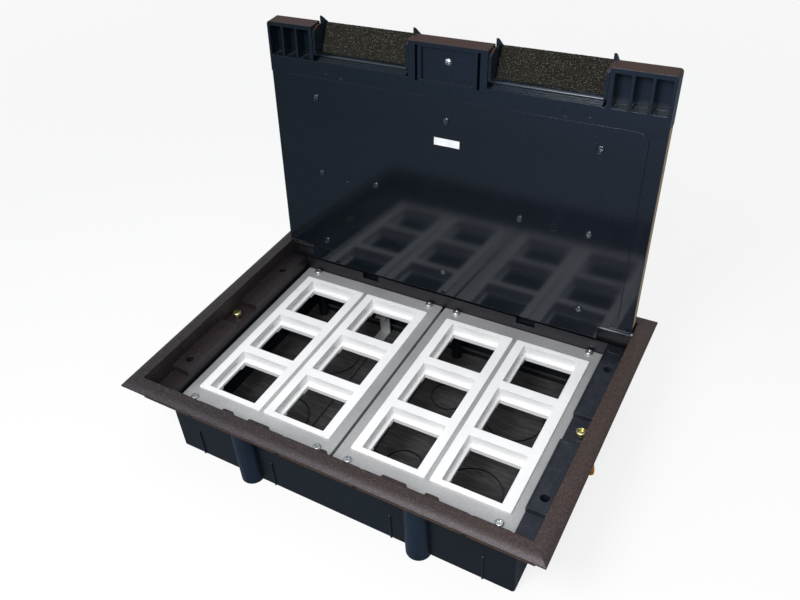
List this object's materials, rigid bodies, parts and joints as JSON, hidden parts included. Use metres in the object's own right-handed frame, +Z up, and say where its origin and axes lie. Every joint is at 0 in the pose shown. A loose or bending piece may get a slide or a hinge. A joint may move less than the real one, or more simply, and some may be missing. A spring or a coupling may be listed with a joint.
{
  "type": "floor socket box",
  "caption": "Recessed floor box with a hinged lid standing open, cable outlet flaps and white frames of square module windows on steel plates.",
  "frame": {"origin": "middle of the tray's underside", "axes": "+X along the lid's hinge to the right, +Y to the back where the lid is hinged, +Z up"},
  "size_m": [0.3432, 0.2509, 0.2853],
  "materials": {
    "tray": "moulded, near-black blue",
    "frame": "fine texture, dark warm grey",
    "lid": "gloss, blue-black",
    "module_white": "satin white",
    "plate": "zinc-plated sheet",
    "zinc": "bright zinc",
    "yellow_zinc": "yellow zinc",
    "dark_steel": "blackened steel",
    "foam": "open-cell foam, brown-black",
    "board": "pressed board, raw edge",
    "label": "blank white label"
  },
  "bodies": {
    "base": {"base_tray": "tray", "flange_frame": "frame", "carrier_plate_left": "plate", "carrier_plate_right": "plate", "module_frame_a": "module_white", "module_frame_b": "module_white", "module_frame_c": "module_white", "module_frame_d": "module_white", "plate_screws": "zinc", "frame_screws": "dark_steel", "hinge_pin_left": "zinc", "hinge_pin_right": "zinc", "earth_strap": "plate", "earth_screw": "zinc"},
    "lid": {"lid_shell": "lid", "lid_board": "board", "board_screws": "zinc", "handle_screw": "zinc", "handle_pin": "zinc", "lid_label": "label", "flap_pin_left": "zinc", "flap_pin_right": "zinc"},
    "outlet_flap_l": {"outlet_flap_left": "lid", "outlet_foam_left": "foam"},
    "outlet_flap_r": {"outlet_flap_right": "lid", "outlet_foam_right": "foam"},
    "handle": {"lift_handle": "lid"},
    "screw_l": {"clamp_screw_left": "yellow_zinc"},
    "screw_r": {"clamp_screw_right": "yellow_zinc"},
    "claw_l": {"clamp_claw_left": "yellow_zinc"},
    "claw_r": {"clamp_claw_right": "yellow_zinc"}
  },
  "joints": [
    {"name": "lid_hinge", "type": "hinge", "parent": "base", "child": "lid", "pos_m": [0, 0.1004, 0.0744], "axis": [1, 0, 0], "range_deg": [0, 94.3]},
    {"name": "outlet_flap_left_hinge", "type": "hinge", "parent": "lid", "child": "outlet_flap_l", "pos_m": [-0.0735, 0.11558, 0.25497], "axis": [1, 0, 0], "range_deg": [0, 22]},
    {"name": "outlet_flap_right_hinge", "type": "hinge", "parent": "lid", "child": "outlet_flap_r", "pos_m": [0.0735, 0.11558, 0.25497], "axis": [1, 0, 0], "range_deg": [0, 22]},
    {"name": "handle_hinge", "type": "hinge", "parent": "lid", "child": "handle", "pos_m": [0, 0.11759, 0.27106], "axis": [1, 0, 0], "range_deg": [-4.3, 85.7]},
    {"name": "clamp_screw_left_turn", "type": "hinge", "parent": "base", "child": "screw_l", "pos_m": [-0.1533, -0.0016, 0.062], "axis": [0, 0, -1], "range_deg": [0, 7200.01]},
    {"name": "clamp_claw_left_lift", "type": "slide", "parent": "base", "child": "claw_l", "axis": [0, 0, 1], "range_m": [0, 0.016]},
    {"name": "clamp_screw_right_turn", "type": "hinge", "parent": "base", "child": "screw_r", "pos_m": [0.1533, -0.0016, 0.062], "axis": [0, 0, -1], "range_deg": [0, 7200.01]},
    {"name": "clamp_claw_right_lift", "type": "slide", "parent": "base", "child": "claw_r", "axis": [0, 0, 1], "range_m": [0, 0.016]}
  ],
  "couplings": [
    {"joint": "clamp_screw_left_turn", "follows": "clamp_claw_left_lift", "rad_per_m": 7854},
    {"joint": "clamp_screw_right_turn", "follows": "clamp_claw_right_lift", "rad_per_m": 7854}
  ]
}
